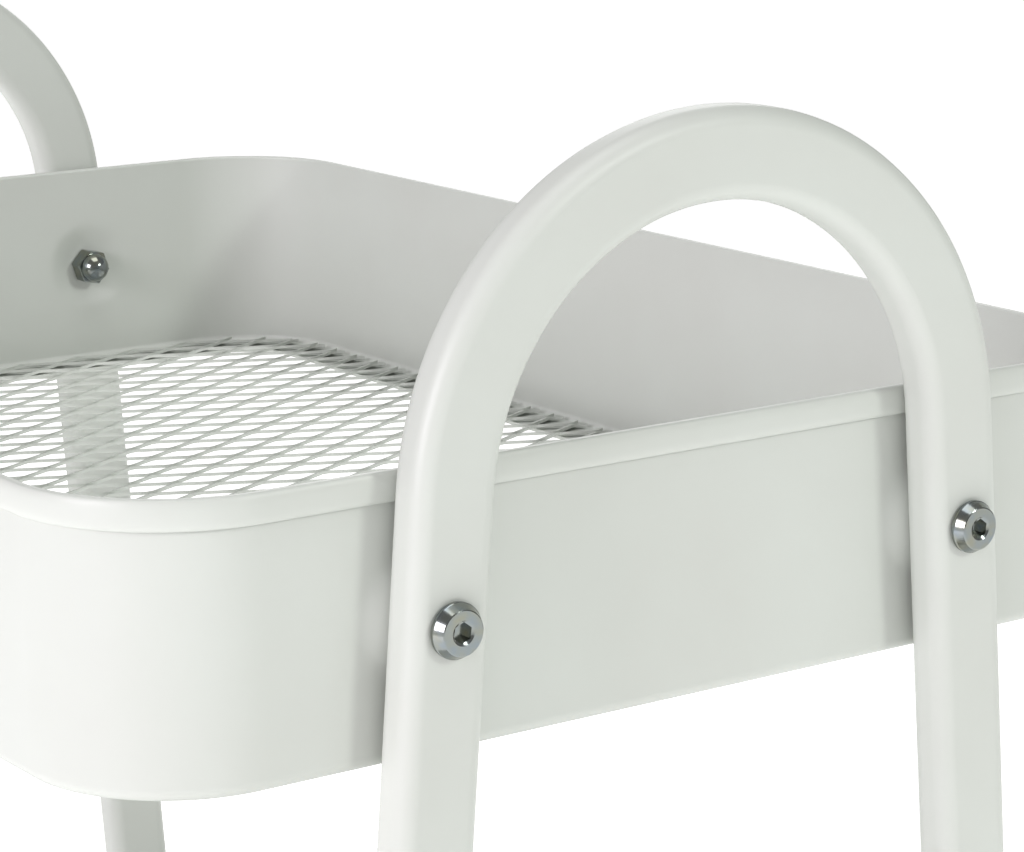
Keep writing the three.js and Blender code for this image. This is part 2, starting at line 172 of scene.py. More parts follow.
floor_mesh = bmesh.new()
bmesh.ops.create_grid(floor_mesh, x_segments=1, y_segments=1, size=FLOOR_SIZE / 2)
floor_data = bpy.data.meshes.new("floor")
floor_mesh.to_mesh(floor_data)
floor_mesh.free()
floor = bpy.data.objects.new("floor", floor_data)
bpy.context.scene.collection.objects.link(floor)

floor_paint = bpy.data.materials.new("pale_floor")
floor_paint.use_nodes = True
floor_shader = floor_paint.node_tree.nodes["Principled BSDF"]
floor_shader.inputs["Base Color"].default_value = linear("F7F7F6")
floor_shader.inputs["Roughness"].default_value = 0.9
floor_shader.inputs["Emission Color"].default_value = linear("FFFFFF")
floor_shader.inputs["Emission Strength"].default_value = FLOOR_GLOW
floor_data.materials.append(floor_paint)
print("lights", len(bpy.data.lights))

# %% [markdown]
# ## Finishes
# Each finish starts from how the real surface was made. The patterns read Object
# coordinates, so they keep their size in millimetres on every piece.

# %% Surface patterns


def finish(name, colour, settings):
    """A material with one Principled shader, and its tree, shader and coordinates."""
    material = bpy.data.materials.new(name)
    material.use_nodes = True
    tree = material.node_tree
    shader = tree.nodes["Principled BSDF"]
    shader.inputs["Base Color"].default_value = linear(colour)
    for socket, value in settings.items():
        shader.inputs[socket].default_value = value
    place = add_node(tree, "ShaderNodeTexCoord")
    return material, tree, shader, place.outputs["Object"]


def grain(tree, shader, place, size_mm, height_mm, detail=2.0):
    """A fine bump of that grain size and height."""
    noise = add_node(tree, "ShaderNodeTexNoise",
                     {"Scale": 1 / (size_mm * MM), "Detail": detail, "Roughness": 0.5},
                     {"Vector": place})
    bump = add_node(tree, "ShaderNodeBump",
                    {"Strength": 1.0, "Distance": height_mm * MM},
                    {"Height": noise.outputs["Fac"]})
    tree.links.new(bump.outputs["Normal"], shader.inputs["Normal"])


def drift(tree, place, size_mm, low, high):
    """A slow change between two values, over patches of that size."""
    noise = add_node(tree, "ShaderNodeTexNoise",
                     {"Scale": 1 / (size_mm * MM), "Detail": 2.0}, {"Vector": place})
    return add_node(tree, "ShaderNodeMapRange",
                    {"From Min": 0.3, "From Max": 0.7, "To Min": low, "To Max": high},
                    {"Value": noise.outputs["Fac"]}).outputs["Result"]


def two_tones(tree, shader, share, first, second):
    """Mixes two colours by a share and gives them to the shader."""
    mix = add_node(tree, "ShaderNodeMix",
                   {"data_type": "RGBA", "A": linear(first), "B": linear(second)}, {"Factor": share})
    tree.links.new(mix.outputs["Result"], shader.inputs["Base Color"])


# %% [markdown]
# ## Powder coat
# Sprayed powder melts into a satin skin with a soft orange peel, about 1.5 mm from crest
# to crest. It could be left as a flat off-white, but the peel is what breaks up a
# reflection on a long flat wall. The mesh floors are dipped in the same coat.

# %% Powder coat
COAT = "C7CBC5"
COAT_SHADE = "C4C7C1"


def powder_coat(name, peel_mm, roughness):
    material, tree, shader, place = finish(name, COAT, {"IOR": 1.5})
    two_tones(tree, shader, drift(tree, place, 45, 0, 1), COAT, COAT_SHADE)
    tree.links.new(drift(tree, place, 70, roughness - 0.03, roughness + 0.03),
                   shader.inputs["Roughness"])
    grain(tree, shader, place, peel_mm, 0.012)
    return material


coat = powder_coat("satin_powder_coat", 1.5, 0.42)
mesh_coat = powder_coat("powder_coat_on_mesh", 0.8, 0.48)
print("coats", coat.name, mesh_coat.name)

# %% [markdown]
# ## Zinc, nylon and tyre
# Bright zinc plate is a mirror with a thin passivation film, which gives faint blue and
# straw tints. Its two tones are also made much darker than real zinc: a painted shade that
# stands in for dark surroundings in its reflections. Moulded nylon is nearly black with a
# sparked grain. The tyre is softer and more matt than the nylon hub it is moulded round.

# %% Zinc, nylon and tyre
zinc, tree, shader, place = finish("bright_zinc_plate", "C9CED0",
                                   {"Metallic": 1.0, "Roughness": 0.17})
# Faint blue and straw passivation tints, both darkened well below real zinc as painted shade in the
# reflections.
two_tones(tree, shader, drift(tree, place, 3.5, 0, 1), "838B8F", "8D8E82")
grain(tree, shader, place, 0.6, 0.004)

nylon, tree, shader, place = finish("moulded_black_nylon", "1C1D1E", {"IOR": 1.53})
two_tones(tree, shader, drift(tree, place, 12, 0, 1), "1B1C1D", "222324")
tree.links.new(drift(tree, place, 20, 0.42, 0.52), shader.inputs["Roughness"])
grain(tree, shader, place, 0.5, 0.02)

tyre, tree, shader, place = finish("soft_grey_tyre", "3A3B3C", {"IOR": 1.5})
two_tones(tree, shader, drift(tree, place, 8, 0, 1), "37383A", "434445")
tree.links.new(drift(tree, place, 15, 0.62, 0.74), shader.inputs["Roughness"])
grain(tree, shader, place, 0.7, 0.03)
print("finishes", len(bpy.data.materials))

# %% [markdown]
# ## Turning a shape into a piece
# Every piece ends the same way: doubles merged, normals outward, smooth faces with sharp
# edges kept, and a body to ride on. One function does it, so no piece misses a step.

# %% Piece
FRAME_BODY = "root"


def add_piece(name, shape, material, body, nodes=(), sharp=35):
    """Makes an object from a bmesh, rides it on a body and hides the CAD nodes it stands in for."""
    bmesh.ops.remove_doubles(shape, verts=shape.verts, dist=0.001 * MM)
    bmesh.ops.recalc_face_normals(shape, faces=shape.faces)
    data = bpy.data.meshes.new(name)
    shape.to_mesh(data)
    shape.free()
    data.polygons.foreach_set("use_smooth", [True] * len(data.polygons))
    data.set_sharp_from_angle(angle=math.radians(sharp))
    data.materials.append(material)
    item = bpy.data.objects.new(name, data)
    bpy.context.scene.collection.objects.link(item)
    weighted = item.modifiers.new("even_shading", "WEIGHTED_NORMAL")
    weighted.keep_sharp = True
    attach(item, body)
    if nodes:
        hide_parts(*nodes)
    return item


def sweep(shape, edges, steps, travel=(0, 0, 0), angle=0.0, centre=(0, 0, 0), axis=(0, 0, 1)):
    """Carries edges along a straight line or round an arc, and returns the last ones."""
    each = Vector(travel) / steps
    made = bmesh.ops.spin(shape, geom=edges, cent=centre, axis=axis, dvec=each,
                          angle=angle, steps=steps, use_merge=False, use_duplicate=False)
    return [item for item in made["geom_last"] if isinstance(item, bmesh.types.BMEdge)]


def turned(shape, profile, steps=48):
    """Turns a (radius, height) profile in millimetres a full turn about Z."""
    points = [shape.verts.new((radius * MM, 0, height * MM)) for radius, height in profile]
    line = [shape.edges.new(pair) for pair in zip(points, points[1:])]
    bmesh.ops.spin(shape, geom=points + line, cent=(0, 0, 0), axis=(0, 0, 1),
                   angle=math.tau, steps=steps, use_merge=True, use_duplicate=False)


# %% [markdown]
# ## Tray walls
# A tray is pressed from one sheet: the wall runs up from a narrow flange, and its top edge
# is rolled outwards into a rim that hangs down with a small gap behind it. It could be
# built as boxes with bevels, but one section carried round the outline gives the rolled
# rim, the dark seam under it and the soft lower edge all at once.

# %% Tray sections
SHEET = 1.0
RIM_OUT = 1.6
RIM_HEIGHT = 6.6
SEAM_GAP = 0.6
SEAM_DEPTH = 2.6
BEAD_CROWN = 1.1
BEAD_SQUARENESS = 2.6
WALL_EDGE = 3.0
FLANGE = 16.0
TRAY_CORNER = 36.5
BOLT_DROP = (tray_high.z - bolt_place("top", "front", "left").z) / MM
BOSS_REACH = 15


def arc(centre, radius, start, end, steps):
    """Points on an arc in the section, in millimetres, from start to end degrees."""
    turns = [math.radians(start + (end - start) * i / steps) for i in range(steps + 1)]
    return [(centre[0] + radius * math.cos(t), centre[1] + radius * math.sin(t)) for t in turns]


def bead(centre, out, up, steps):
    """The rolled rim's outer side, from its lower lip to its crown: a squared-off ellipse."""
    points = []
    for i in range(steps + 1):
        turn = math.radians(-88 + 178 * i / steps)
        across, along = math.cos(turn), math.sin(turn)
        points.append((centre[0] + out * abs(across) ** (2 / BEAD_SQUARENESS),
                       centre[1] + up * math.copysign(abs(along) ** (2 / BEAD_SQUARENESS), along)))
    return points


def tray_section():
    """(out, up) points of the tray's closed section. Out 0 is the wall's outer face."""
    depth = tray_depth / MM
    inner_edge = WALL_EDGE - SHEET
    near_boss = [-BOLT_DROP + BOSS_REACH - i for i in range(2 * BOSS_REACH + 1)]
    outline = arc((-WALL_EDGE, -depth + WALL_EDGE), WALL_EDGE, -90, 0, 6)
    outline += [(0, z) for z in reversed(near_boss)]
    outline += [(0, -RIM_HEIGHT + SEAM_DEPTH), (SEAM_GAP, -RIM_HEIGHT + SEAM_DEPTH)]
    outline += [(SEAM_GAP, -RIM_HEIGHT + 0.15)]
    outline += bead((RIM_OUT - BEAD_CROWN, -RIM_HEIGHT / 2), BEAD_CROWN, RIM_HEIGHT / 2, 14)
    outline += arc((-SHEET + 0.8, -0.8), 0.8, 90, 180, 5)
    outline += [(-SHEET, z) for z in near_boss]
    outline += arc((-WALL_EDGE, -depth + WALL_EDGE), inner_edge, 0, -90, 5)
    outline += [(-FLANGE, -depth + SHEET), (-FLANGE, -depth)]
    return outline


section = tray_section()
print("section points", len(section))

# %% [markdown]
# ## Pressed bosses
# Each screw pulls a round boss of the wall against the tube, so the wall stands proud by
# the rim's overhang there. The wall's points near a screw are eased outwards, which keeps
# the boss part of the same sheet with a soft foot, as a press tool leaves it.

# %% Tray wall
BOSS_FLAT = 6.0
BOSS_FOOT = 14.5
CORNER_STEPS = 44


def ease(value, low, high):
    """0 at or below low, 1 at or above high, and smooth in between."""
    share = min(1.0, max(0.0, (value - low) / (high - low)))
    return share * share * (3 - 2 * share)


def tray_wall(tier):
    low, high = corners(f"{tier}_tray_wall")
    bolt_y = abs(bolt_place(tier, "front", "left").y)
    bolt_z = bolt_place(tier, "front", "left").z
    half_length = high.x - RIM_OUT * MM
    half_width = high.y - RIM_OUT * MM
    radius = (TRAY_CORNER - RIM_OUT) * MM
    flat_x, flat_y = half_length - radius, half_width - radius
    shape = bmesh.new()
    inward = shape.verts.layers.float.new("inward")
    points = []
    for out, up in section:
        point = shape.verts.new((half_length + out * MM, -flat_y, high.z + up * MM))
        point[inward] = -out * MM
        points.append(point)
    edges = [shape.edges.new(pair) for pair in zip(points, points[1:] + points[:1])]
    reach = BOSS_REACH * MM
    stops = sorted({-flat_y, -min(flat_y, bolt_y + reach), -bolt_y + reach,
                    bolt_y - reach, min(flat_y, bolt_y + reach), flat_y})
    for side in (1, -1):
        for start, end in zip(stops, stops[1:]):
            fine = start < -bolt_y + reach - MM or end > bolt_y - reach + MM
            fine = fine and end - start < 2.1 * reach
            steps = max(1, round((end - start) / (MM if fine else 12 * MM)))
            edges = sweep(shape, edges, steps, travel=(0, side * (end - start), 0))
        edges = sweep(shape, edges, CORNER_STEPS, angle=math.pi / 2,
                      centre=(side * flat_x, side * flat_y, 0))
        edges = sweep(shape, edges, 20, travel=(-side * 2 * flat_x, 0, 0))
        edges = sweep(shape, edges, CORNER_STEPS, angle=math.pi / 2,
                      centre=(-side * flat_x, side * flat_y, 0))
    for point in shape.verts:
        apart = math.hypot(abs(point.co.y) - bolt_y, point.co.z - bolt_z)
        press = 1 - ease(apart, BOSS_FLAT * MM, BOSS_FOOT * MM)
        if press > 0 and abs(point.co.x) > flat_x:
            target = math.copysign(high.x - point[inward], point.co.x)
            point.co.x += (target - point.co.x) * press
    return shape


for tier in TIERS:
    wall = add_piece(f"{tier}_tray", tray_wall(tier), coat, FRAME_BODY,
                     [f"{tier}_tray_wall"], sharp=50)
    print(wall.name, len(wall.data.polygons))

# %% [markdown]
# ## Expanded-metal floors
# Expanded metal is a slit sheet pulled open, so its strands zigzag and touch their
# neighbours at short bonds, and each strand leans. A flat lattice would miss the lean,
# which makes one set of strands look thin and the other broad. One leaning strand is
# swept along its zigzag, and copies of it stand side by side, each half a diamond on.

# %% Mesh floor
DIAMOND_LENGTH = 20.0
DIAMOND_WIDTH = 12.0
STRAND_WIDTH = 2.4
STRAND_THICKNESS = 0.85
STRAND_LEAN = math.radians(14)
BOND_LENGTH = 2.4
MESH_EDGE = 3.0


def strand(shape, low, high):
    """One zigzag strand along the low side of the floor, longer than the floor is wide."""
    half = STRAND_WIDTH / 2
    rise = half * math.tan(STRAND_LEAN)
    thick = STRAND_THICKNESS / 2 / math.cos(STRAND_LEAN)
    swing = DIAMOND_WIDTH / 2 - STRAND_WIDTH
    z = low.z / MM + rise + thick
    start = low.y / MM - DIAMOND_LENGTH
    ring = [(half, z + rise + thick), (half, z + rise - thick),
            (-half, z - rise - thick), (-half, z - rise + thick)]
    points = [shape.verts.new(((low.x / MM + x) * MM, start * MM, z * MM)) for x, z in ring]
    cap = shape.faces.new(points)
    edges = list(cap.edges)
    halves = math.ceil((high.y - low.y) / MM / (DIAMOND_LENGTH / 2)) + 4
    for i in range(halves):
        way = 1 if i % 2 == 0 else -1
        edges = sweep(shape, edges, 1, travel=(0, BOND_LENGTH * MM, 0))
        edges = sweep(shape, edges, 1,
                      travel=(way * swing * MM, (DIAMOND_LENGTH / 2 - BOND_LENGTH) * MM, 0))
    bmesh.ops.edgeloop_fill(shape, edges=edges)


def trim(shape, place, outwards):
    """Cuts off what lies beyond a plane and closes the cut ends."""
    cut = bmesh.ops.bisect_plane(shape, geom=shape.verts[:] + shape.edges[:] + shape.faces[:],
                                 dist=0.0001 * MM, plane_co=place, plane_no=outwards,
                                 clear_outer=True)
    ends = [item for item in cut["geom_cut"] if isinstance(item, bmesh.types.BMEdge)]
    bmesh.ops.holes_fill(shape, edges=[edge for edge in ends if edge.is_boundary], sides=0)


def mesh_floor(tier):
    """Strands side by side, each half a diamond on, trimmed to the tray's inner outline."""
    low, high = corners(f"{tier}_tray_mesh")
    shape = bmesh.new()
    strand(shape, low, high)
    first = shape.verts[:] + shape.edges[:] + shape.faces[:]
    pitch = DIAMOND_WIDTH / 2 * MM
    for i in range(1, math.ceil((high.x - low.x) / pitch) + 1):
        copy = bmesh.ops.duplicate(shape, geom=first)["geom"]
        points = [item for item in copy if isinstance(item, bmesh.types.BMVert)]
        shift = DIAMOND_LENGTH / 2 * MM if i % 2 else 0
        bmesh.ops.translate(shape, verts=points, vec=(i * pitch, shift, 0))
    centre = (low + high) / 2
    radius = (TRAY_CORNER - RIM_OUT - SHEET - MESH_EDGE) * MM
    flat_x, flat_y = high.x - radius, high.y - radius
    for x, y in ((1, 0), (-1, 0), (0, 1), (0, -1)):
        trim(shape, centre + Vector((x * high.x, y * high.y, 0)), (x, y, 0))
    for side_x in (1, -1):
        for side_y in (1, -1):
            for turn in (18, 36, 54, 72):
                way = Vector((side_x * math.cos(math.radians(turn)),
                              side_y * math.sin(math.radians(turn)), 0))
                corner = Vector((side_x * flat_x, side_y * flat_y, centre.z))
                trim(shape, corner + way * radius, way)
    return shape


for tier in TIERS:
    grid = add_piece(f"{tier}_mesh_floor", mesh_floor(tier), mesh_coat, FRAME_BODY,
                     [f"{tier}_tray_mesh"], sharp=30)
    print(grid.name, len(grid.data.polygons))

# %% [markdown]
# ## Side frames
# Each side frame is one flat-oval tube, bent once over a round former. The section is a
# rectangle with its corners rounded, carried up one leg, round the arch and down the
# other. A second, smaller section makes the tube hollow, and the two are bridged at the
# open feet.

# %% Side frames
TUBE_WIDTH = 20.0
TUBE_CORNER = 4.2
TUBE_WALL = 1.2
ARCH_RADIUS = 68.3
ARCH_STEPS = 96

low_bolt, high_bolt = bolt_place("bottom", "front", "left"), bolt_place("top", "front", "left")
splay = math.atan2(low_bolt.y - high_bolt.y, high_bolt.z - low_bolt.z)
arch_z = frame_high.z - (ARCH_RADIUS + TUBE_WIDTH / 2) * MM
arch_end = Vector((0, math.cos(splay), math.sin(splay))) * ARCH_RADIUS * MM
arch_end.z += arch_z
foot_z = corners("leg_plug_front_left")[0].z + 5.0 * MM
leg_length = (arch_end.z - foot_z) / math.cos(splay)
leg_way = Vector((0, -math.sin(splay), math.cos(splay)))
leg_foot = arch_end - leg_way * leg_length


def rounded_section(shape, depth, width, corner, place):
    """Edges of a rounded rectangle, square to the leg at a place on it."""
    made = bmesh.ops.create_grid(shape, x_segments=1, y_segments=1, size=0.5)["verts"]
    bmesh.ops.scale(shape, verts=made, vec=(depth, width, 1))
    rounded = bmesh.ops.bevel(shape, geom=made, offset=corner, segments=6, profile=0.5,
                              affect="VERTICES", material=-1)
    face = [face for face in shape.faces if face.is_valid and len(face.verts) > 8][-1]
    edges = list(face.edges)
    matrix = Matrix.Translation(place) @ Matrix.Rotation(splay, 4, "X")
    bmesh.ops.transform(shape, matrix=matrix, verts=list(face.verts))
    bmesh.ops.delete(shape, geom=[face], context="FACES_ONLY")
    return edges


def side_frame(facing):
    """A hollow tube up one leg, round the arch and down the other, with open feet."""
    shape = bmesh.new()
    feet, tops = [], []
    for thinner in (0, TUBE_WALL * MM):
        start = Vector((facing * tube_x, leg_foot.y, leg_foot.z))
        edges = rounded_section(shape, tube_depth - 2 * thinner, TUBE_WIDTH * MM - 2 * thinner,
                                TUBE_CORNER * MM - thinner, start)
        feet += edges
        edges = sweep(shape, edges, 1, travel=leg_way * leg_length)
        edges = sweep(shape, edges, ARCH_STEPS, angle=math.pi - 2 * splay,
                      centre=(facing * tube_x, 0, arch_z), axis=(1, 0, 0))
        down = Vector((0, leg_way.y, -leg_way.z)) * leg_length
        tops += sweep(shape, edges, 1, travel=down)
    bmesh.ops.bridge_loops(shape, edges=feet)
    bmesh.ops.bridge_loops(shape, edges=tops)
    return shape


for end, facing in ENDS.items():
    tube = add_piece(f"arched_tube_{end}", side_frame(facing), coat, FRAME_BODY,
                     [f"side_frame_{end}"], sharp=50)
    print(tube.name, len(tube.data.polygons))

# %% [markdown]
# ## Screws and dome nuts
# A furniture screw has a low head: a thin upright ring, a wide bevel and a flat face with
# a hex socket. Turning a profile makes all but the socket, and a bridge from the round
# face to a hexagon makes the chamfer that leads into it. The nut is a hexagon under a dome.

# %% Screws
HEAD_RADIUS = 6.0
HEAD_RING = 1.2
HEAD_HEIGHT = 3.3
HEAD_FLAT = 4.7
SOCKET_RADIUS = 4.0 / 2 / math.cos(math.pi / 6)
SOCKET_CHAMFER = 0.35
SOCKET_DEPTH = 2.3
SHANK_RADIUS = 3.0


def screw():
    """A screw on Z with its seat at zero and its head upwards."""
    low, high = corners("top_bolt_front_left")
    shank = (high.x - low.x) / MM - HEAD_HEIGHT
    shape = bmesh.new()
    lead_in = SOCKET_RADIUS + SOCKET_CHAMFER
    turned(shape, [(0, -shank), (SHANK_RADIUS - 0.5, -shank), (SHANK_RADIUS, -shank + 0.5),
                   (SHANK_RADIUS, 0), (HEAD_RADIUS - 0.25, 0), (HEAD_RADIUS, 0.25),
                   (HEAD_RADIUS, HEAD_RING - 0.2), (HEAD_RADIUS - 0.2, HEAD_RING),
                   (HEAD_FLAT + 0.2, HEAD_HEIGHT - 0.15), (HEAD_FLAT - 0.05, HEAD_HEIGHT),
                   (lead_in, HEAD_HEIGHT)])
    bmesh.ops.remove_doubles(shape, verts=shape.verts, dist=0.001 * MM)
    rim = [edge for edge in shape.edges if edge.is_boundary]
    hexagon = bmesh.ops.create_circle(shape, segments=6, cap_ends=False,
                                      radius=SOCKET_RADIUS * MM)
    bmesh.ops.translate(shape, verts=hexagon["verts"],
                        vec=(0, 0, (HEAD_HEIGHT - SOCKET_CHAMFER) * MM))
    socket = list({edge for point in hexagon["verts"] for edge in point.link_edges})
    bmesh.ops.bridge_loops(shape, edges=rim + socket)
    floor_edges = sweep(shape, socket, 1, travel=(0, 0, -(SOCKET_DEPTH - SOCKET_CHAMFER) * MM))
    bmesh.ops.edgeloop_fill(shape, edges=floor_edges)
    return shape


NUT_RADIUS = 10.0 / 2 / math.cos(math.pi / 6)
NUT_HEX = 5.0
DOME = 4.6


def dome_nut():
    """A dome nut on Z with its seat at zero and its dome downwards."""
    shape = bmesh.new()
    dome = arc((0, -NUT_HEX), DOME, -80, 0, 9)
    turned(shape, [(0, -NUT_HEX - DOME)] + dome + [(DOME, -0.4), (0, -0.4)])
    bmesh.ops.remove_doubles(shape, verts=shape.verts, dist=0.001 * MM)
    made = bmesh.ops.create_cone(shape, cap_ends=True, segments=6, depth=NUT_HEX * MM,
                                 radius1=NUT_RADIUS * MM, radius2=NUT_RADIUS * MM)
    bmesh.ops.translate(shape, verts=made["verts"], vec=(0, 0, -NUT_HEX / 2 * MM))
    hex_edges = list({edge for point in made["verts"] for edge in point.link_edges})
    bmesh.ops.bevel(shape, geom=hex_edges, offset=0.35 * MM, segments=2, profile=0.5,
                    affect="EDGES", material=-1)
    return shape


def facing_out(facing):
    """The turn that points a shape made on Z along +X or -X."""
    return Matrix.Rotation(facing * math.pi / 2, 4, "Y")


for tier in TIERS:
    for end, facing in ENDS.items():
        for side in SIDES:
            at = bolt_place(tier, end, side)
            bolt_low, bolt_high = corners(f"{tier}_bolt_{end}_{side}")
            nut_low, nut_high = corners(f"{tier}_nut_{end}_{side}")
            head_top = bolt_high.x if facing > 0 else bolt_low.x
            nut_seat = nut_high.x if facing > 0 else nut_low.x
            for kind, make, x, twist in (
                ("screw", screw, head_top - facing * HEAD_HEIGHT * MM, 0.4),
                ("dome_nut", dome_nut, nut_seat, 0.2),
            ):
                shape = make()
                matrix = Matrix.Translation((x, at.y, at.z)) @ facing_out(facing)
                bmesh.ops.transform(shape, verts=shape.verts,
                                    matrix=matrix @ Matrix.Rotation(twist, 4, "Z"))
                node = "bolt" if kind == "screw" else "nut"
                add_piece(f"{tier}_{kind}_{end}_{side}", shape, zinc, FRAME_BODY,
                          [f"{tier}_{node}_{end}_{side}"], sharp=28)
print("screws and nuts", len(TIERS) * 8)

# %% [markdown]
# ## Leg plugs and stems
# A moulded plug closes each foot and holds the upright steel stem that the caster turns
# on. The plug leans with the leg and is cut level underneath, so it is swept square to the
# leg and then trimmed by a level plane.

# %% Leg plugs and stems
PLUG_COLLAR = 5.0
PLUG_INSERT = 28.0
FIT_GAP = 0.3


def leg_plug(facing, hand):
    """A plug with a collar under the tube and an insert inside it, cut level underneath."""
    shape = bmesh.new()
    foot = Vector((0, leg_foot.y, leg_foot.z))
    for inset, start, length in ((0, -2 * PLUG_COLLAR, 2 * PLUG_COLLAR - FIT_GAP),
                                 (TUBE_WALL + FIT_GAP, -PLUG_COLLAR / 2, PLUG_INSERT)):
        edges = rounded_section(shape, tube_depth - 2 * inset * MM, (TUBE_WIDTH - 2 * inset) * MM,
                                max(TUBE_CORNER - inset, 1.0) * MM, foot + leg_way * start * MM)
        bmesh.ops.edgeloop_fill(shape, edges=edges)
        last = sweep(shape, edges, 1, travel=leg_way * length * MM)
        bmesh.ops.edgeloop_fill(shape, edges=last)
    trim(shape, (0, 0, foot_z - PLUG_COLLAR * MM), (0, 0, -1))
    matrix = Matrix.Translation((facing * tube_x, 0, 0)) @ Matrix.Diagonal((1, hand, 1, 1))
    bmesh.ops.transform(shape, matrix=matrix, verts=shape.verts)
    return shape


STEM_RADIUS = 3.0
COLLAR_RADIUS = 7.0
COLLAR_HEIGHT = 2.5


def stem(name):
    """A steel pin on Z with a round collar that rests between the hood and the plug."""
    low, high = corners(name)
    shape = bmesh.new()
    hood_top = corners(name.replace("stem", "hood"))[1].z
    under = (hood_top - low.z) / MM + FIT_GAP
    over = under + COLLAR_HEIGHT
    top = (high.z - low.z) / MM
    turned(shape, [(0, 0), (STEM_RADIUS - 0.4, 0), (STEM_RADIUS, 0.4), (STEM_RADIUS, under),
                   (COLLAR_RADIUS - 0.3, under), (COLLAR_RADIUS, under + 0.3),
                   (COLLAR_RADIUS, over - 0.3), (COLLAR_RADIUS - 0.3, over), (STEM_RADIUS, over),
                   (STEM_RADIUS, top - 0.6), (STEM_RADIUS - 0.6, top), (0, top)], steps=32)
    centre = (low + high) / 2
    bmesh.ops.translate(shape, verts=shape.verts, vec=(centre.x, centre.y, low.z))
    return shape


for end, facing in ENDS.items():
    for side, hand in SIDES.items():
        add_piece(f"foot_plug_{end}_{side}", leg_plug(facing, hand), nylon, FRAME_BODY,
                  [f"leg_plug_{end}_{side}"])
        node = f"caster_{end}_{side}_stem"
        add_piece(f"swivel_stem_{end}_{side}", stem(node), zinc, FRAME_BODY, [node])
print("plugs and stems", 8)

# %% [markdown]
# ## Caster hoods
# The hood is one moulding: a curved roof over both wheels, a web between them that carries
# the axle, and a neck for the stem. It is easiest to say as solids joined and hollowed
# out, so booleans cut the wheel wells, and a bevel rounds the edges as a mould does.

# %% Hood
WHEEL_RADIUS = 25.0
TRAIL = 20.0
WEB = 6.0
WHEEL_IN, WHEEL_OUT = 3.6, 18.6
WELL_RADIUS = 26.5
HOOD_RADIUS = 28.5
HUB_RADIUS = 9.0
NECK_RADIUS = 9.0
HOOD_TILT = math.radians(18)
HOOD_CUT = 5.0
AXLE = (TRAIL, WHEEL_RADIUS)
AXLE_BORE = 3.3
BRAKE_ANGLE = math.radians(48)
BRAKE_REACH = 33.5
EYE_RADIUS = 4.2
PEDAL_PIN = 2.0
hood_top = corners("caster_front_left_hood")[1].z / MM
bore_bottom = corners("caster_front_left_stem")[0].z / MM - FIT_GAP
brake_x = TRAIL + BRAKE_REACH * math.cos(BRAKE_ANGLE)
brake_z = WHEEL_RADIUS + BRAKE_REACH * math.sin(BRAKE_ANGLE)


def lay_across(shape, place):
    """Turns a shape made on Z so that it lies along Y at an (x, z) place in millimetres."""
    quarter = Matrix.Rotation(-math.pi / 2, 3, "X")
    bmesh.ops.rotate(shape, verts=shape.verts, cent=(0, 0, 0), matrix=quarter)
    bmesh.ops.translate(shape, verts=shape.verts, vec=(place[0] * MM, 0, place[1] * MM))
    return shape


def rod(radius, start, end, across=None, segments=64):
    """A closed cylinder in millimetres, on Z, or along Y at an (x, z) place."""
    shape = bmesh.new()
    bmesh.ops.create_cone(shape, cap_ends=True, segments=segments, radius1=radius * MM,
                          radius2=radius * MM, depth=(end - start) * MM)
    bmesh.ops.translate(shape, verts=shape.verts, vec=(0, 0, (start + end) / 2 * MM))
    return lay_across(shape, across) if across else shape


def slab(size, centre, turn=0.0, pivot=(0, 0)):
    """A closed box in millimetres, turned about Y round an (x, z) pivot."""
    shape = bmesh.new()
    bmesh.ops.create_cube(shape, size=1)
    bmesh.ops.scale(shape, verts=shape.verts, vec=[v * MM for v in size])
    bmesh.ops.translate(shape, verts=shape.verts, vec=[v * MM for v in centre])
    tilt = Matrix.Rotation(-turn, 3, "Y")
    bmesh.ops.rotate(shape, verts=shape.verts, cent=(0, 0, 0), matrix=tilt)
    bmesh.ops.translate(shape, verts=shape.verts, vec=(pivot[0] * MM, 0, pivot[1] * MM))
    return shape


def loose(name, shape):
    data = bpy.data.meshes.new(name)
    shape.to_mesh(data)
    shape.free()
    item = bpy.data.objects.new(name, data)
    bpy.context.scene.collection.objects.link(item)
    return item


def carve(solids, cutters, rounding_mm):
    """Joins solids, cuts others out of them and rounds the sharp edges."""
    items = [loose("working", shape) for shape in solids + cutters]
    base = items[0]
    for i, other in enumerate(items[1:], 1):
        step = base.modifiers.new("carve", "BOOLEAN")
        step.operation = "UNION" if i < len(solids) else "DIFFERENCE"
        step.object = other
        step.solver = "EXACT"
    soft = base.modifiers.new("rounding", "BEVEL")
    soft.width = rounding_mm * MM
    soft.segments = 2
    soft.limit_method = "ANGLE"
    soft.angle_limit = math.radians(40)
    soft.use_clamp_overlap = True
    bpy.context.view_layer.update()
    depsgraph = bpy.context.evaluated_depsgraph_get()
    made = bpy.data.meshes.new_from_object(base.evaluated_get(depsgraph))
    shape = bmesh.new()
    shape.from_mesh(made)
    for item in items:
        data = item.data
        bpy.data.objects.remove(item)
        bpy.data.meshes.remove(data)
    bpy.data.meshes.remove(made)
    return shape


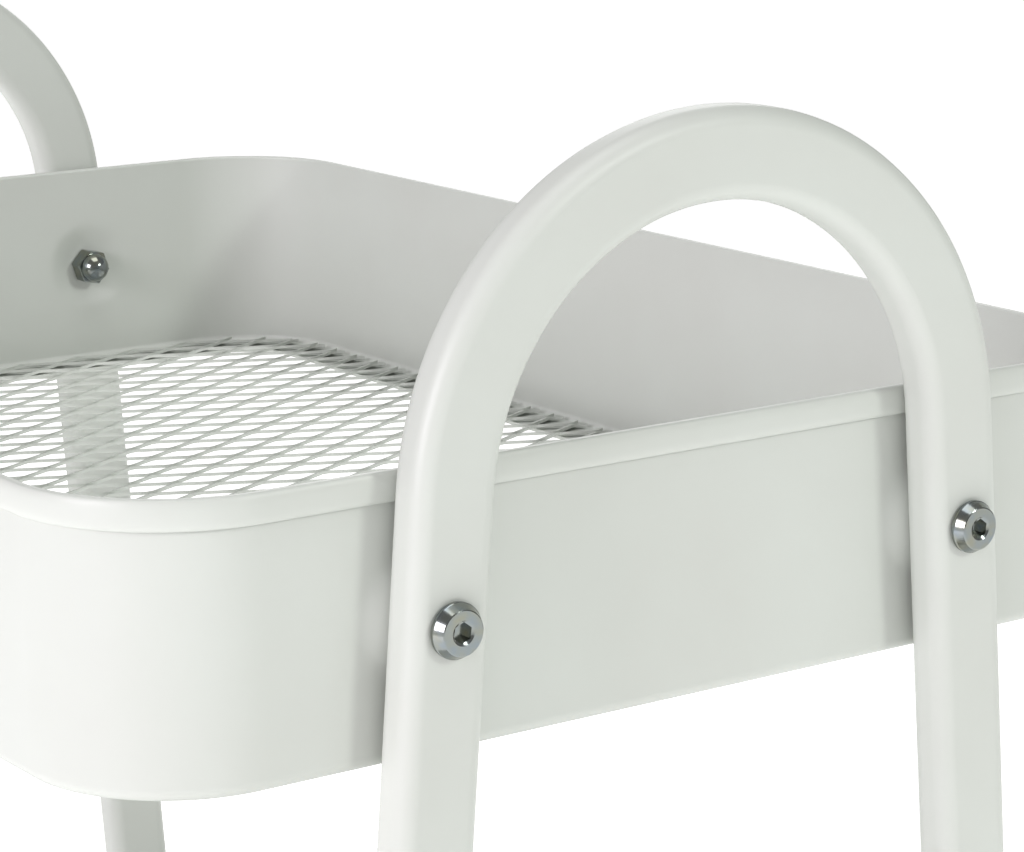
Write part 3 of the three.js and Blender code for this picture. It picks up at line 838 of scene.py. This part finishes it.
def hood(braked):
    """A hood in the caster's own frame, with an ear for the pedal if it is braked."""
    roof = rod(HOOD_RADIUS, -WHEEL_OUT, WHEEL_OUT, AXLE, 96)
    keep_out = slab((HOOD_RADIUS * 4, HOOD_RADIUS * 4, HOOD_RADIUS * 2),
                    (0, 0, HOOD_CUT - HOOD_RADIUS), HOOD_TILT, AXLE)
    roof = carve([roof], [keep_out], 0.01)
    solids = [roof, rod(HUB_RADIUS, -WEB / 2, WEB / 2, AXLE),
              rod(NECK_RADIUS, WHEEL_RADIUS + HUB_RADIUS, hood_top)]
    cutters = [rod(WELL_RADIUS, WEB / 2, WHEEL_OUT + 1, AXLE, 96),
               rod(WELL_RADIUS, -WHEEL_OUT - 1, -WEB / 2, AXLE, 96),
               rod(AXLE_BORE, bore_bottom, hood_top + 1), rod(AXLE_BORE, -WEB, WEB, AXLE)]
    if braked:
        pivot = (brake_x, brake_z)
        solids += [slab((BRAKE_REACH - WHEEL_RADIUS, WEB, 2 * EYE_RADIUS),
                        ((BRAKE_REACH + WHEEL_RADIUS) / 2, 0, 0), BRAKE_ANGLE, AXLE),
                   rod(EYE_RADIUS, -WEB / 2, WEB / 2, pivot)]
        cutters.append(rod(PEDAL_PIN + FIT_GAP, -WEB, WEB, pivot, 32))
    return carve(solids, cutters, 0.5)


plain_hood, braked_hood = hood(False), hood(True)
print("hood faces", len(plain_hood.faces), len(braked_hood.faces))

# %% [markdown]
# ## Wheels, axles and pedals
# The two wheels of a caster turn on their own, so each is its own piece: a soft tyre on a
# dished nylon hub with ribs. The pedal is a moulded lever with grip ridges, pinned to an
# ear of the hood.

# %% Wheels, axles and pedals


def soften(shape, rounding_mm):
    """Rounds every edge of a moulded block."""
    bmesh.ops.bevel(shape, geom=shape.edges[:], offset=rounding_mm * MM, segments=2,
                    profile=0.5, affect="EDGES", material=-1)
    return shape


def add_to(shape, other):
    """Adds a copy of another bmesh's faces to a shape."""
    data = bpy.data.meshes.new("working")
    other.to_mesh(data)
    other.free()
    shape.from_mesh(data)
    bpy.data.meshes.remove(data)


TYRE_INNER = 20.0
HUB_OUTER = TYRE_INNER - 0.01
RIBS = 6


def wheel_tyre():
    shape = bmesh.new()
    edge = 2.0
    ring = [(TYRE_INNER, WHEEL_IN), (WHEEL_RADIUS - edge, WHEEL_IN)]
    ring += arc((WHEEL_RADIUS - edge, WHEEL_IN + edge), edge, -90, 0, 5)[1:]
    ring += arc((WHEEL_RADIUS - edge, WHEEL_OUT - edge), edge, 0, 90, 5)
    ring += [(TYRE_INNER, WHEEL_OUT), (TYRE_INNER, WHEEL_IN)]
    turned(shape, ring, steps=96)
    return lay_across(shape, AXLE)


def wheel_hub():
    """A dished hub: a rim, a sunken web with ribs and a boss round the axle."""
    shape = bmesh.new()
    turned(shape, [(AXLE_BORE, WHEEL_IN), (HUB_OUTER, WHEEL_IN), (HUB_OUTER, WHEEL_OUT - 0.3),
                   (19.6, WHEEL_OUT - 0.1), (18.8, WHEEL_OUT - 0.3), (18.5, WHEEL_OUT - 3),
                   (9.2, WHEEL_OUT - 3), (8.6, WHEEL_OUT - 0.9), (8.1, WHEEL_OUT - 0.5),
                   (AXLE_BORE, WHEEL_OUT - 0.5), (AXLE_BORE, WHEEL_IN)], steps=96)
    for i in range(RIBS):
        rib = slab((10.4, 1.6, 2.4), (13.7, 0, WHEEL_OUT - 2.3))
        turn = Matrix.Rotation(math.tau * i / RIBS, 3, "Z")
        bmesh.ops.rotate(rib, verts=rib.verts, cent=(0, 0, 0), matrix=turn)
        add_to(shape, soften(rib, 0.3))
    return lay_across(shape, AXLE)


def axle_pin():
    shape = bmesh.new()
    end = WHEEL_OUT - 1
    blunt = STEM_RADIUS - 0.5
    turned(shape, [(0, -end), (blunt, -end), (STEM_RADIUS, -end + 0.5), (STEM_RADIUS, end - 0.5),
                   (blunt, end), (0, end)], steps=32)
    return lay_across(shape, AXLE)


PEDAL_LENGTH = 22.0
PEDAL_WIDTH = 20
PEDAL_THICK = 3
PEDAL_SLOPE = math.radians(12)
RIDGES = 4
RIDGE_SIZE = (1.2, 17, 0.9)
RIDGE_PITCH = 3.2
FIRST_RIDGE = 9.5


def pedal():
    """A pedal on its pivot, with cheeks either side of the hood's ear."""
    shape = bmesh.new()
    pivot = (brake_x, brake_z)
    cheek_in, cheek_out = WEB / 2 + FIT_GAP, WEB / 2 + FIT_GAP + PEDAL_THICK
    start, end = EYE_RADIUS + 0.6, PEDAL_LENGTH
    blocks = [slab((end - start, PEDAL_WIDTH, PEDAL_THICK), ((end + start) / 2, 0, 0),
                   PEDAL_SLOPE, pivot)]
    for hand in (1, -1):
        size = (start + 2, cheek_out - cheek_in, PEDAL_THICK)
        centre = (size[0] / 2, hand * (cheek_in + cheek_out) / 2, 0)
        blocks.append(slab(size, centre, PEDAL_SLOPE, pivot))
    for i in range(RIDGES):
        blocks.append(slab(RIDGE_SIZE, (FIRST_RIDGE + i * RIDGE_PITCH, 0, 1.7), PEDAL_SLOPE, pivot))
    for block in blocks:
        add_to(shape, soften(block, 0.4))
    for low, high in ((cheek_in, cheek_out), (-cheek_out, -cheek_in)):
        add_to(shape, rod(EYE_RADIUS, low, high, pivot, 48))
    add_to(shape, rod(PEDAL_PIN, -cheek_out, cheek_out, pivot, 32))
    return shape


def at_caster(shape, end, side, mirror=False):
    """Moves a shape made in the caster's own frame to its place on the cart."""
    place = middle(f"caster_{end}_{side}_stem")
    matrix = Matrix.Translation((place.x, place.y, 0))
    matrix = matrix @ Matrix.Rotation(math.pi if end == "front" else 0.0, 4, "Z")
    if mirror:
        matrix = matrix @ Matrix.Diagonal((1, -1, 1, 1))
    bmesh.ops.transform(shape, matrix=matrix, verts=shape.verts)
    return shape


for end in ENDS:
    for side in SIDES:
        name = f"caster_{end}_{side}"
        ready = (braked_hood if end == "front" else plain_hood).copy()
        add_piece(f"{name}_cover", at_caster(ready, end, side), nylon, f"{name}_swivel",
                  [f"{name}_hood"])
        add_piece(f"{name}_pin", at_caster(axle_pin(), end, side), zinc, f"{name}_swivel",
                  [f"{name}_axle"])
        for letter, mirror in (("a", False), ("b", True)):
            body = f"{name}_wheel_{letter}"
            add_piece(f"{name}_tyre_{letter}", at_caster(wheel_tyre(), end, side, mirror), tyre,
                      body, [f"{name}_wheel_{letter}"])
            add_piece(f"{name}_hub_{letter}", at_caster(wheel_hub(), end, side, mirror), nylon,
                      body)
        if end == "front":
            add_piece(f"{name}_lever", at_caster(pedal(), end, side), nylon, f"{name}_brake",
                      [f"{name}_brake_pedal"])
plain_hood.free()
braked_hood.free()
print("casters", 4)
